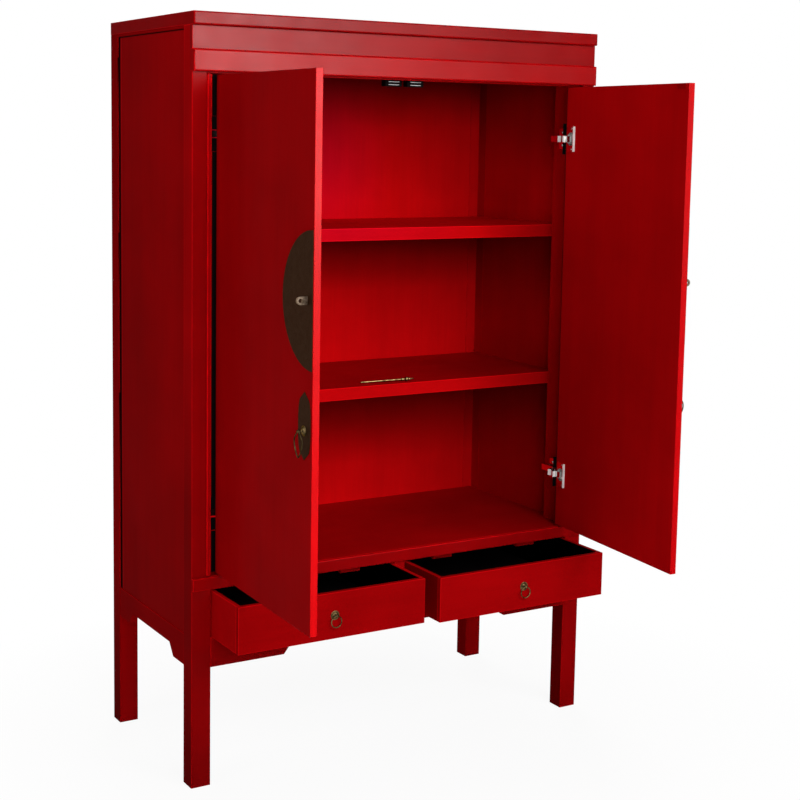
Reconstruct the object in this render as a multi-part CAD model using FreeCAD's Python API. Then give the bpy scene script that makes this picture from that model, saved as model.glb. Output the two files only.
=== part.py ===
import FreeCAD
import Part
import math
import os

# A red lacquered wedding cabinet: two doors over two drawers, on four square legs.
# Millimetres. X runs to the right, Y to the back and Z up. The origin is on the floor,
# midway between the legs and in the plane of the case's front. The doors and drawers rest open.
# Paired pieces are drawn once, closed and on the right, then mirrored and swung open.

Vector = FreeCAD.Vector
origin = Vector(0, 0, 0)
x_axis = Vector(1, 0, 0)
y_axis = Vector(0, 1, 0)
z_axis = Vector(0, 0, 1)
quarter_turn = 90.0
eighth_turn = quarter_turn / 2
full_turn = 360.0
right_side = 1
left_side = -1
side_names = {left_side: "left", right_side: "right"}

# Overall sizes of the case, over the legs
width = 1100.0
depth = 490.0
height = 1750.0

# Legs, which run up as the corner posts
leg_width = 48.0
leg_depth = 44.0
leg_arris = 2.5

# Cornice, from the top down
top_board_thickness = 29.0
top_board_arris = 4.0
cornice_projection = 10.0
fascia_height = 52.0
fascia_thickness = 12.0
fascia_arris = 2.0
moulding_height = 47.5
moulding_arris = 4.0
top_rail_drop = 3.0

# Door beads beside the posts
bead_width = 12.0
bead_arris = 4.0

# Floor of the case and the waist moulding in front of it
floor_thickness = 18.0
waist_height = 29.0
waist_projection = 9.0
waist_arris = 3.0
waist_tongue_depth = 24.0

# Aprons and side rails under the case
frame_bottom = 308.0
apron_height = 41.0
side_rail_height = 45.0
back_rail_height = 72.0
spandrel_drop = 29.0
spandrel_slope_run = 23.0
front_spandrel_reach = 188.0
side_spandrel_reach = 64.0
apron_thickness = 20.0
rail_reveal = 1.0
back_rail_thickness = 20.0

# Side and back panels
side_panel_thickness = 16.0
side_panel_recess = 3.0
side_cap_height = 6.5
back_panel_thickness = 6.0
back_panel_recess = 4.0

# Shelves, with the clear height under each, and the battens that carry the hinges
shelf_thickness = 30.0
lower_bay_height = 359.0
middle_bay_height = 355.0
shelf_arris = 1.0
batten_depth = 51.0

# Doors, inset between the beads, each on two concealed hinges
door_thickness = 16.0
door_side_gap = 1.5
door_centre_gap = 7.0
door_top_gap = 3.3
door_floor_gap = 4.5
door_arris = 1.2
left_door_angle = 92.45
right_door_angle = 84.75
pivot_inset = 9.4
pivot_forward = 2.2
top_hinge_inset = 128.0
bottom_hinge_inset = 133.8

# Concealed hinges: the cup in the door
cup_radius = 17.5
cup_wall = 1.0
cup_depth = 11.5
cup_inset = 22.5
cup_fit = 0.05
flange_thickness = 1.2
flange_near_inset = 6.0
flange_far_inset = 40.0
flange_height = 62.0
flange_corner = 4.0
flange_lip_height = 6.5
cup_screw_inset = 25.0
cup_screw_spread = 26.0
cup_screw_radius = 3.0
cup_screw_head = 1.2
lever_height = 15.0
lever_gap = 0.4
lug_radius = 25.4
lug_reach = 6.0
lug_back_reach = 13.0

# Concealed hinges: the link that turns half as far as the door
link_share = 0.5
link_thickness = 8.0
link_start_angle = 78.0
link_end_angle = 129.0

# Concealed hinges: the arm and its mounting plate on the batten
nose_thickness = 8.0
nose_start_angle = 85.0
nose_end_angle = 135.0
arm_thickness = 10.0
arm_height = 16.0
arm_rear_gap = 3.0
arm_front_reach = 9.0
plate_thickness = 2.8
plate_wing_height = 52.0
plate_wing_width = 22.0
plate_wing_setback = 49.0
plate_corner = 4.0
plate_screw_spread = 16.0
plate_screw_radius = 3.5
plate_screw_head = 1.6

# Magnetic catches under the top rail, and the strike plates on the doors
catch_offset = 30.0
catch_width = 45.0
catch_height = 15.0
catch_depth = 18.0
catch_corner = 2.0
catch_setback = 2.5
pole_width = 29.0
pole_thickness = 1.6
pole_depth = 12.0
pole_proud = 1.4
pole_spacing = 6.9
strike_width = 30.0
strike_height = 12.0
strike_thickness = 0.8
strike_edge_gap = 1.0

# Half-moon plates and the eyes that the lock pin passes through
half_moon_radius = 138.0
half_moon_rise = 670.5
plate_edge_gap = 2.0
brass_plate_thickness = 1.2
eye_centre_inset = 25.0
eye_reach = 24.0
eye_radius = 8.3
eye_hole_radius = 4.2
eye_thickness = 4.0

# Lower plates with their hanging pulls
escutcheon_centre_inset = 34.0
escutcheon_drop = 250.0
escutcheon_half_height = 68.5
escutcheon_half_width = 28.0
escutcheon_shoulder_half_width = 20.0
escutcheon_waist_half_width = 24.0
nail_radius = 1.8
nail_head = 0.9
nail_offset = 40.0
pull_drop = 9.5
rosette_radius = 11.0
rosette_dome = 5.5
post_radius = 2.4
ball_radius = 3.6
pull_reach = 12.5
pull_pin_radius = 1.2
pull_pin_clearance = 0.06
drop_half_width = 20.0
drop_length = 54.0
drop_shoulder = 19.0
drop_band = 3.4
drop_thickness = 2.6
drop_cheek_gap = 0.5
drop_cheek = 2.4

# Drawers between the legs, their divider, runners and stop blocks
divider_width = 28.0
drawer_side_gap = 2.0
drawer_opening_height = 115.0
drawer_lift = 1.5
drawer_top_gap = 5.5
drawer_front_thickness = 12.0
drawer_arris = 1.2
drawer_wall = 10.0
drawer_bottom_thickness = 5.0
drawer_bottom_lift = 5.5
drawer_back_gap = 0.5
left_drawer_opening = 140.5
right_drawer_opening = 157.2
runner_thickness = 20.0
runner_bearing = 30.0
runner_gap = 0.3
runner_guide_gap = 0.5
runner_guide_height = 30.0
stop_block_width = 55.0
stop_block_gap = 1.0
stop_block_drop = 14.0
stop_block_offset = 126.0

# Ring pulls on the drawers
ring_rosette_rise = 1.5
ring_post_drop = 0.5
ring_reach = 8.0
ring_radius = 13.2
ring_wire_radius = 1.3
ring_hole_radius = 2.1

# Lock pin, which lies on the lower shelf
pin_tail_x = -38.0
pin_tail_inset = 42.4
pin_turn = -9.8
pin_rod_radius = 2.0
pin_rod_length = 107.0
pin_collar_radius = 3.8
pin_collar_length = 4.0
pin_neck_radius = 2.4
pin_neck_length = 5.05
pin_ball_radius = 5.5
pin_disc_radius = 3.6
pin_disc_length = 2.5
pin_tip_radius = 0.8
pin_tip_length = 12.55
pin_rest_gap = 0.2

# How far cuts run past what they cut, and how near a point counts as being on a line
overrun = 1.0
touch = 0.01

# Places that follow from the sizes above
half_width = width / 2
front = 0
back = depth
leg_inner = half_width - leg_width
leg_back = front + leg_depth
rear_leg_front = back - leg_depth
post_inner = leg_inner + bead_width
case_top = height - top_board_thickness
fascia_bottom = case_top - fascia_height
moulding_bottom = fascia_bottom - moulding_height
top_rail_bottom = moulding_bottom - top_rail_drop
cornice_back = front + fascia_thickness
apron_top = frame_bottom + apron_height
side_rail_top = frame_bottom + side_rail_height
back_rail_top = frame_bottom + back_rail_height
waist_bottom = apron_top + drawer_opening_height
floor_height = waist_bottom + waist_height
floor_bottom = floor_height - floor_thickness
lower_shelf_height = floor_height + lower_bay_height + shelf_thickness
upper_shelf_height = lower_shelf_height + middle_bay_height + shelf_thickness
spandrel_bottom = frame_bottom - spandrel_drop
case_inner = half_width - side_panel_recess - side_panel_thickness
back_inner = back - back_panel_recess - back_panel_thickness
shelf_front = leg_back + batten_depth

door_hinge_edge = leg_inner - door_side_gap
door_free_edge = door_centre_gap / 2
door_bottom = floor_height + door_floor_gap
door_top = top_rail_bottom - door_top_gap
door_inner_face = front + door_thickness
pivot_x = door_hinge_edge - pivot_inset
pivot_y = front - pivot_forward
hinge_heights = [door_bottom + bottom_hinge_inset, door_top - top_hinge_inset]
cup_x = door_hinge_edge - cup_inset
link_inner_radius = lug_radius + lever_gap
link_outer_radius = link_inner_radius + link_thickness
nose_inner_radius = link_outer_radius + lever_gap
nose_outer_radius = nose_inner_radius + nose_thickness
flange_face = door_inner_face + flange_thickness
half_moon_height = door_bottom + half_moon_rise
escutcheon_height = half_moon_height - escutcheon_drop
pull_height = escutcheon_height - pull_drop

drawer_inner_end = divider_width / 2 + drawer_side_gap
drawer_outer_end = leg_inner - drawer_side_gap
drawer_middle = (drawer_inner_end + drawer_outer_end) / 2
drawer_bottom = apron_top + drawer_lift
drawer_top = waist_bottom - drawer_top_gap
ring_rosette_height = (drawer_bottom + drawer_top) / 2 + ring_rosette_rise
drawer_back = back - back_panel_recess - back_rail_thickness - drawer_back_gap
runner_top = drawer_bottom - runner_gap
runner_bottom = runner_top - runner_thickness
drawer_openings = {left_side: left_drawer_opening, right_side: right_drawer_opening}


def box(x0, x1, y0, y1, z0, z1):
    """A box between two corners."""
    return Part.makeBox(x1 - x0, y1 - y0, z1 - z0, Vector(x0, y0, z0))


def paired_boxes(x0, x1, y0, y1, z0, z1):
    """A box on the right and its mirror image on the left, as two solids."""
    right_box = box(x0, x1, y0, y1, z0, z1)
    return [right_box, mirrored(right_box)]


def mirrored(shape):
    """The shape's image on the other side of the cabinet."""
    return shape.mirror(origin, x_axis)


def on_side(shape, side):
    """A shape drawn on the right, moved to the named side."""
    if side == left_side:
        return mirrored(shape)
    return shape.copy()


def prism(points, direction):
    """A solid swept along a direction from a flat outline of points."""
    face = Part.Face(Part.makePolygon(points + points[:1]))
    return face.extrude(direction)


def edges_along(shape, axis, x=None, y=None, z=None):
    """The straight edges that run along an axis name and lie at the given places."""
    wanted = {"x": x, "y": y, "z": z}
    found = []
    for edge in shape.Edges:
        ends = [vertex.Point for vertex in edge.Vertexes]
        if len(ends) != 2:
            continue
        across = [name for name in wanted if name != axis]
        level = all(abs(getattr(ends[0], name) - getattr(ends[1], name)) < touch for name in across)
        placed = all(abs(getattr(ends[0], name) - wanted[name]) < touch
                     for name in across if wanted[name] is not None)
        if level and placed:
            found.append(edge)
    return found


def rounded(shape, radius, edges):
    """The shape with the listed edges rounded."""
    return shape.makeFillet(radius, edges)


def turned(shape, centre_x, centre_y, angle):
    """A copy turned about an upright line."""
    copy = shape.copy()
    copy.rotate(Vector(centre_x, centre_y, 0), z_axis, angle)
    return copy


def swung_open(shape, side, share=1):
    """A piece drawn on the closed right door, moved to one side and swung open with its door."""
    angle = right_door_angle if side == right_side else -left_door_angle
    return turned(on_side(shape, side), side * pivot_x, pivot_y, angle * share)


def pulled_out(shape, side):
    """A piece drawn on the closed right drawer, moved to one side and pulled out with its drawer."""
    copy = on_side(shape, side)
    copy.translate(Vector(0, -drawer_openings[side], 0))
    return copy


def ring_sector(inner_radius, outer_radius, start_angle, end_angle, z0, z1):
    """A curved bar about the right door's swing line, between two angles."""
    centre = Vector(pivot_x, pivot_y, z0)
    sweep = end_angle - start_angle
    outer = Part.makeCylinder(outer_radius, z1 - z0, centre, z_axis, sweep)
    inner = Part.makeCylinder(inner_radius, z1 - z0, centre, z_axis, sweep)
    bar = outer.cut(inner)
    bar.rotate(centre, z_axis, start_angle)
    return bar


def revolved(profile, centre, direction):
    """A turned solid: pairs of distance along the direction and radius, spun about it."""
    points = [Vector(distance, radius, 0) for distance, radius in profile]
    points = [Vector(profile[0][0], 0, 0)] + points + [Vector(profile[-1][0], 0, 0)]
    distinct = [points[0]]
    for point in points[1:]:
        if point.distanceToPoint(distinct[-1]) > touch:
            distinct.append(point)
    face = Part.Face(Part.makePolygon(distinct + distinct[:1]))
    solid = face.revolve(origin, x_axis, full_turn)
    solid = Part.Solid(solid.Shells[0])
    if solid.Volume < 0:
        solid.reverse()
    turn = FreeCAD.Rotation(x_axis, direction)
    solid.Placement = FreeCAD.Placement(centre, turn)
    return solid


def front_leg():
    """A leg that runs up beside the door bead and behind the cornice boards."""
    foot = box(leg_inner, half_width, front, leg_back, 0, floor_height)
    post = box(post_inner, half_width, front, leg_back, floor_height, moulding_bottom)
    tenon = box(post_inner, half_width, cornice_back, leg_back, moulding_bottom, case_top)
    leg = foot.fuse([post, tenon]).removeSplitter()
    arrises = edges_along(leg, "z", x=half_width, y=front)
    arrises += edges_along(leg, "z", x=leg_inner, y=front)
    arrises += edges_along(leg, "z", x=post_inner, y=front)
    return rounded(leg, leg_arris, arrises)


def back_leg():
    """A leg that is square under the floor board and rebated above it to hold the case."""
    leg = box(leg_inner, half_width, rear_leg_front, back, 0, case_top)
    rebate = box(leg_inner - overrun, case_inner, rear_leg_front - overrun, back_inner,
                 floor_bottom, case_top + overrun)
    leg = leg.cut(rebate)
    return rounded(leg, leg_arris, edges_along(leg, "z", x=half_width, y=back))


def top_board():
    """The top, rounded along its front and at its front corners."""
    nose = front - cornice_projection
    board = box(-half_width, half_width, nose, back, case_top, height)
    edges = edges_along(board, "x", y=nose)
    edges += edges_along(board, "z", y=nose)
    return rounded(board, top_board_arris, edges)


def cornice_fascia():
    """The flat band under the top board, flush with the posts."""
    board = box(-half_width, half_width, front, cornice_back, fascia_bottom, case_top)
    edges = edges_along(board, "x", y=front) + edges_along(board, "z", y=front)
    return rounded(board, fascia_arris, edges)


def cornice_moulding():
    """The band that stands proud over the doors."""
    nose = front - cornice_projection
    board = box(-half_width, half_width, nose, cornice_back, moulding_bottom, fascia_bottom)
    edges = edges_along(board, "x", y=nose) + edges_along(board, "z", y=nose)
    return rounded(board, moulding_arris, edges)


def front_top_rail():
    """The rail behind the cornice that ties the front posts together."""
    return box(-post_inner, post_inner, cornice_back, leg_back, top_rail_bottom, case_top)


def side_cap_strips():
    """The strips that close the side frames under the top board."""
    return Part.makeCompound(paired_boxes(
        case_inner, half_width - rail_reveal, leg_back, rear_leg_front, case_top - side_cap_height, case_top))


def side_panel():
    """The tall panel between the front and back legs."""
    return box(case_inner, half_width - side_panel_recess, leg_back, rear_leg_front,
               side_rail_top, case_top - side_cap_height)


def stepped_outline(half_length, reach, top):
    """Distance and height of a rail's outline, which steps down beside each leg."""
    bend = half_length - reach
    upper = bend - spandrel_slope_run
    return [(-half_length, top), (-half_length, spandrel_bottom), (-bend, spandrel_bottom),
            (-upper, frame_bottom), (upper, frame_bottom), (bend, spandrel_bottom),
            (half_length, spandrel_bottom), (half_length, top)]


def side_rail():
    """The bottom rail of a side, stepped down beside the legs."""
    middle = (leg_back + rear_leg_front) / 2
    outline = stepped_outline(rear_leg_front - middle, side_spandrel_reach, side_rail_top)
    outer = half_width - rail_reveal
    points = [Vector(case_inner, middle + distance, level) for distance, level in outline]
    return prism(points, Vector(outer - case_inner, 0, 0))


def front_apron():
    """The apron under the drawers, stepped down beside the legs."""
    outline = stepped_outline(leg_inner, front_spandrel_reach, apron_top)
    points = [Vector(distance, front + rail_reveal, level) for distance, level in outline]
    return prism(points, Vector(0, apron_thickness, 0))


def back_bottom_rail():
    """The plain rail across the back, which also stops the drawers."""
    outer = back - back_panel_recess
    return box(-leg_inner, leg_inner, outer - back_rail_thickness, outer, frame_bottom, back_rail_top)


def back_panel():
    """The thin panel between the back legs."""
    return box(-leg_inner, leg_inner, back_inner, back_inner + back_panel_thickness,
               back_rail_top, case_top)


def floor_board():
    """The floor of the case, notched around the front legs."""
    middle = box(-case_inner, case_inner, leg_back, back_inner, floor_bottom, floor_height)
    lip = box(-leg_inner, leg_inner, front, leg_back, floor_bottom, floor_height)
    return middle.fuse(lip).removeSplitter()


def waist_moulding():
    """The band across the front at floor level, with a tongue under the floor board."""
    nose = front - waist_projection
    band = box(-half_width, half_width, nose, front, waist_bottom, floor_height)
    tongue = box(-leg_inner, leg_inner, front, front + waist_tongue_depth, waist_bottom, floor_bottom)
    moulding = band.fuse(tongue).removeSplitter()
    edges = edges_along(moulding, "x", y=nose) + edges_along(moulding, "z", y=nose)
    return rounded(moulding, waist_arris, edges)


def shelf(top):
    """A full-width shelf whose front edge meets the hinge battens."""
    board = box(-case_inner, case_inner, shelf_front, back_inner, top - shelf_thickness, top)
    return rounded(board, shelf_arris, edges_along(board, "x", y=shelf_front))


def hinge_batten():
    """The upright behind a front post that carries the hinges."""
    return box(leg_inner, case_inner, leg_back, shelf_front, floor_height, case_top)


def door_beads():
    """The rounded strips between the front posts and the doors."""
    strips = paired_boxes(leg_inner, post_inner, front, leg_back, floor_height, top_rail_bottom)
    return Part.makeCompound([rounded(strip, bead_arris, edges_along(strip, "z", y=front)) for strip in strips])


def drawer_divider():
    """The short upright between the drawers."""
    return box(-divider_width / 2, divider_width / 2, front + rail_reveal,
               front + rail_reveal + apron_thickness, apron_top, waist_bottom)


def drawer_runners():
    """The side runners with their guides, and the shared one in the middle."""
    inner = drawer_outer_end - runner_bearing
    guide = drawer_outer_end + runner_guide_gap
    guide_top = runner_top + runner_guide_height
    side_base = box(inner, case_inner, leg_back, rear_leg_front, runner_bottom, runner_top)
    side_guide = box(guide, case_inner, leg_back, rear_leg_front, runner_top, guide_top)
    side_runner = side_base.fuse(side_guide).removeSplitter()
    middle_front = front + rail_reveal + apron_thickness
    middle_back = back - back_panel_recess - back_rail_thickness
    bearing = drawer_inner_end + runner_bearing
    guide_half = drawer_inner_end - runner_guide_gap
    middle_base = box(-bearing, bearing, middle_front, middle_back, runner_bottom, runner_top)
    middle_guide = box(-guide_half, guide_half, middle_front, middle_back, runner_top, guide_top)
    middle_runner = middle_base.fuse(middle_guide).removeSplitter()
    return Part.makeCompound([side_runner, mirrored(side_runner), middle_runner])


def drawer_stop_blocks():
    """The blocks behind the waist rail that catch each drawer's back."""
    block_front = front + drawer_front_thickness + stop_block_gap
    block_back = front + waist_tongue_depth
    blocks = []
    for side in (left_side, right_side):
        for offset in (-stop_block_offset, stop_block_offset):
            middle = side * drawer_middle + offset
            blocks.append(box(middle - stop_block_width / 2, middle + stop_block_width / 2,
                              block_front, block_back,
                              waist_bottom - stop_block_drop, waist_bottom))
    return Part.makeCompound(blocks)


def magnetic_catches():
    """Two catch bodies under the top rail, slotted for their pole strips."""
    face = door_inner_face + catch_setback
    x0 = catch_offset - catch_width / 2
    body = box(x0, x0 + catch_width, face, face + catch_depth, top_rail_bottom - catch_height, top_rail_bottom)
    body = rounded(body, catch_corner, edges_along(body, "y", z=top_rail_bottom - catch_height))
    for strip in right_catch_poles():
        body = body.cut(strip)
    return Part.makeCompound([body, mirrored(body)])


def right_catch_poles():
    """The two steel strips of the right catch."""
    face = door_inner_face + catch_setback - pole_proud
    middle = top_rail_bottom - catch_height / 2
    strips = []
    for level in (middle - pole_spacing / 2, middle + pole_spacing / 2):
        strips.append(box(catch_offset - pole_width / 2, catch_offset + pole_width / 2,
                          face, face + pole_proud + pole_depth,
                          level - pole_thickness / 2, level + pole_thickness / 2))
    return strips


def catch_poles():
    """The pole strips of both catches."""
    strips = right_catch_poles()
    return Part.makeCompound(strips + [mirrored(strip) for strip in strips])


def hinge_plate(level):
    """One cross-shaped mounting plate on the right batten."""
    outer = leg_inner
    inner = outer - plate_thickness
    wing_front = front + plate_wing_setback
    wing = box(inner, outer, wing_front, wing_front + plate_wing_width,
               level - plate_wing_height / 2, level + plate_wing_height / 2)
    wing = rounded(wing, plate_corner, edges_along(wing, "x"))
    body = box(inner, outer, leg_back, shelf_front - arm_rear_gap,
               level - arm_height / 2, level + arm_height / 2)
    return wing.fuse(body).removeSplitter()


def hinge_arm(level):
    """One hinge arm on its mounting plate, with a nose that curves over the link."""
    outer = leg_inner - plate_thickness
    bottom = level - lever_height / 2
    top = level + lever_height / 2
    bar = box(outer - arm_thickness, outer, leg_back - arm_front_reach, shelf_front - arm_rear_gap, bottom, top)
    nose = ring_sector(nose_inner_radius, nose_outer_radius, nose_start_angle, nose_end_angle, bottom, top)
    return bar.fuse(nose).removeSplitter()


def hinge_link(level):
    """One hinge link, drawn where it lies with the door closed."""
    return ring_sector(link_inner_radius, link_outer_radius, link_start_angle, link_end_angle,
                       level - lever_height / 2, level + lever_height / 2)


def round_head(x, y, level, direction, radius, head):
    """A low domed screw or nail head that sits on a face."""
    steps = 6
    profile = []
    for step in range(steps + 1):
        angle = math.radians(quarter_turn * step / steps)
        profile.append((head * math.sin(angle), radius * math.cos(angle)))
    return revolved(profile, Vector(x, y, level), direction)


def hinge_screws():
    """The screws that hold the mounting plates."""
    face = leg_inner - plate_thickness
    middle = front + plate_wing_setback + plate_wing_width / 2
    heads = []
    for level in hinge_heights:
        for offset in (-plate_screw_spread, plate_screw_spread):
            heads.append(round_head(face, middle, level + offset, -x_axis, plate_screw_radius, plate_screw_head))
    return Part.makeCompound(heads + [mirrored(head) for head in heads])


def door_panel():
    """A plain slab with two blind holes for the hinge cups."""
    slab = box(door_free_edge, door_hinge_edge, front, door_inner_face, door_bottom, door_top)
    slab = rounded(slab, door_arris, edges_along(slab, "z") + edges_along(slab, "x"))
    for level in hinge_heights:
        mouth = Vector(cup_x, door_inner_face + overrun, level)
        slab = slab.cut(Part.makeCylinder(cup_radius + cup_fit, cup_depth + cup_fit + overrun, mouth, -y_axis))
    return slab


def hinge_cup(level):
    """One hinge cup with its flange, its folded edge and the lug that meets the link."""
    mouth = Vector(cup_x, door_inner_face, level)
    shell = Part.makeCylinder(cup_radius, cup_depth, mouth, -y_axis)
    far = door_hinge_edge - flange_far_inset
    near = door_hinge_edge - flange_near_inset
    flange = box(far, near, door_inner_face, flange_face, level - flange_height / 2, level + flange_height / 2)
    flange = rounded(flange, flange_corner, edges_along(flange, "y", x=near))
    lip = box(far, far + flange_thickness, door_inner_face, door_inner_face + flange_lip_height,
              level - flange_height / 2, level + flange_height / 2)
    cup = shell.fuse([flange, lip])
    hollow_start = Vector(cup_x, flange_face + overrun, level)
    hollow_depth = cup_depth - cup_wall + flange_thickness + overrun
    cup = cup.cut(Part.makeCylinder(cup_radius - cup_wall, hollow_depth, hollow_start, -y_axis))
    return cup.fuse(hinge_lug(level)).removeSplitter()


def hinge_lug(level):
    """The short lever that stands out of the cup and clears the link as the door swings."""
    bottom = level - lever_height / 2
    top = level + lever_height / 2
    root = door_inner_face - cup_depth + cup_wall
    stem = box(pivot_x - lug_back_reach, pivot_x, root, flange_face, bottom, top)
    head = box(pivot_x - lug_back_reach, pivot_x + lug_reach, flange_face, pivot_y + lug_radius, bottom, top)
    sweep = Part.makeCylinder(lug_radius, lever_height, Vector(pivot_x, pivot_y, bottom), z_axis)
    return stem.fuse(head).common(sweep)


def hinge_cups():
    """Both cups of a door with their screws."""
    solids = []
    screw_x = door_hinge_edge - cup_screw_inset
    for level in hinge_heights:
        solids.append(hinge_cup(level))
        for offset in (-cup_screw_spread, cup_screw_spread):
            solids.append(round_head(screw_x, flange_face, level + offset, y_axis, cup_screw_radius, cup_screw_head))
    return Part.makeCompound(solids)


def strike_plate():
    """The thin plate on a door that its magnetic catch holds."""
    top = door_top - strike_edge_gap
    return box(catch_offset - strike_width / 2, catch_offset + strike_width / 2, door_inner_face,
               door_inner_face + strike_thickness, top - strike_height, top)


def half_moon_plate():
    """The half disc at the door's free edge."""
    edge = door_free_edge + plate_edge_gap
    centre = Vector(edge, front, half_moon_height)
    disc = Part.makeCylinder(half_moon_radius, brass_plate_thickness, centre, -y_axis)
    keep = box(edge, edge + half_moon_radius + overrun, front - brass_plate_thickness, front,
               half_moon_height - half_moon_radius - overrun, half_moon_height + half_moon_radius + overrun)
    return disc.common(keep)


def hasp_eye():
    """The upright eye on the half-moon plate that takes the lock pin."""
    middle = door_free_edge + eye_centre_inset
    face = front - brass_plate_thickness
    x0 = middle - eye_thickness / 2
    centre = Vector(x0, face - eye_reach + eye_radius, half_moon_height)
    root = box(x0, x0 + eye_thickness, centre.y, face, half_moon_height - eye_radius, half_moon_height + eye_radius)
    eye = root.fuse(Part.makeCylinder(eye_radius, eye_thickness, centre, x_axis)).removeSplitter()
    start = centre - x_axis * overrun
    return eye.cut(Part.makeCylinder(eye_hole_radius, eye_thickness + overrun * 2, start, x_axis))


def escutcheon():
    """The tall pointed plate under the half moon, with two nails."""
    middle = door_free_edge + escutcheon_centre_inset
    waist_share = 0.26
    swell_share = 0.52
    shoulder_share = 0.76
    quarter = [(escutcheon_half_width, 0), (escutcheon_half_width, waist_share),
               (escutcheon_waist_half_width, swell_share), (escutcheon_shoulder_half_width, shoulder_share)]
    right_upper = [(half, share * escutcheon_half_height) for half, share in quarter]
    tip = [(0, escutcheon_half_height)]
    left_upper = [(-half, rise) for half, rise in reversed(right_upper)]
    lower = [(-offset, -rise) for offset, rise in right_upper[1:] + tip + left_upper[:-1]]
    outline = right_upper + tip + left_upper + lower
    points = [Vector(middle + offset, front, escutcheon_height + rise) for offset, rise in outline]
    plate = prism(points, Vector(0, -brass_plate_thickness, 0))
    face = front - brass_plate_thickness
    nails = [round_head(middle, face, escutcheon_height + offset, -y_axis, nail_radius, nail_head)
             for offset in (-nail_offset, nail_offset)]
    return Part.makeCompound([plate] + nails)


def rosette(x, face, level, eye_level, reach, hole_radius):
    """A domed rosette with a post that ends in a pierced ball."""
    sphere_radius = (rosette_radius ** 2 + rosette_dome ** 2) / (2 * rosette_dome)
    sphere = Part.makeSphere(sphere_radius, Vector(x, face + sphere_radius - rosette_dome, level))
    limit = sphere_radius + overrun
    behind = box(x - limit, x + limit, face, face + 2 * limit, level - limit, level + limit)
    dome = sphere.cut(behind)
    post = Part.makeCylinder(post_radius, reach, Vector(x, face, eye_level), -y_axis)
    middle = Vector(x, face - reach, eye_level)
    ball = Part.makeSphere(ball_radius, middle, y_axis)
    ball.rotate(middle, y_axis, eighth_turn)
    body = dome.fuse([post, ball]).removeSplitter()
    start = middle - x_axis * (ball_radius + overrun)
    return body.cut(Part.makeCylinder(hole_radius, 2 * (ball_radius + overrun), start, x_axis))


def pull_rosette():
    """The rosette on a door's lower plate."""
    return rosette(door_free_edge + escutcheon_centre_inset, front - brass_plate_thickness, pull_height,
                   pull_height, pull_reach, pull_pin_radius + pull_pin_clearance)


def drop_outline(inset):
    """Points of the hanging pull's leaf, drawn in by an inset: across from the middle, and down."""
    cheek = ball_radius + drop_cheek_gap + drop_cheek
    waist_share = 0.62
    right = [(cheek - inset / 2, ball_radius - inset),
             (drop_half_width - inset, -drop_shoulder),
             ((drop_half_width - inset) * waist_share, -(drop_shoulder + (drop_length - drop_shoulder) / 2)),
             (0, 2 * inset - drop_length)]
    left = [(-across, down) for across, down in reversed(right[:-1])]
    return right + left


def drop_pull():
    """The hollow leaf that hangs from the ball on a pin across its top."""
    x = door_free_edge + escutcheon_centre_inset
    y = front - brass_plate_thickness - pull_reach
    y0 = y + drop_thickness / 2

    def leaf(inset, extra):
        points = [Vector(x + across, y0 + extra, pull_height + down) for across, down in drop_outline(inset)]
        return prism(points, Vector(0, -drop_thickness - 2 * extra, 0))

    cheek = ball_radius + drop_cheek_gap
    rise = ball_radius + overrun
    slot = box(x - cheek, x + cheek, y - drop_thickness, y + drop_thickness,
               pull_height - rise, pull_height + rise)
    frame = leaf(0, 0).cut(leaf(drop_band, overrun)).cut(slot)
    pin = Part.makeCylinder(pull_pin_radius, 2 * (cheek + drop_cheek / 2),
                            Vector(x - cheek - drop_cheek / 2, y, pull_height), x_axis)
    return frame.fuse(pin).removeSplitter()


def drawer_front():
    """The front board of a drawer."""
    board = box(drawer_inner_end, drawer_outer_end, front, front + drawer_front_thickness,
                drawer_bottom, drawer_top)
    edges = edges_along(board, "x", y=front) + edges_along(board, "z", y=front)
    return rounded(board, drawer_arris, edges)


def drawer_box():
    """The two side walls and the back wall of a drawer."""
    wall_front = front + drawer_front_thickness
    inner_wall = box(drawer_inner_end, drawer_inner_end + drawer_wall, wall_front, drawer_back,
                     drawer_bottom, drawer_top)
    outer_wall = box(drawer_outer_end - drawer_wall, drawer_outer_end, wall_front, drawer_back,
                     drawer_bottom, drawer_top)
    back_wall = box(drawer_inner_end + drawer_wall, drawer_outer_end - drawer_wall,
                    drawer_back - drawer_wall, drawer_back, drawer_bottom, drawer_top)
    return Part.makeCompound([inner_wall, outer_wall, back_wall])


def drawer_base():
    """The bottom panel of a drawer."""
    low = drawer_bottom + drawer_bottom_lift
    return box(drawer_inner_end + drawer_wall, drawer_outer_end - drawer_wall,
               front + drawer_front_thickness, drawer_back - drawer_wall, low, low + drawer_bottom_thickness)


def ring_rosette():
    """The rosette on a drawer front."""
    return rosette(drawer_middle, front, ring_rosette_height, ring_rosette_height - ring_post_drop,
                   ring_reach, ring_hole_radius)


def ring_pull():
    """The ring that hangs through the rosette's ball."""
    centre = Vector(drawer_middle, front - ring_reach, ring_rosette_height - ring_post_drop - ring_radius)
    return Part.makeTorus(ring_radius, ring_wire_radius, centre, y_axis)


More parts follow.
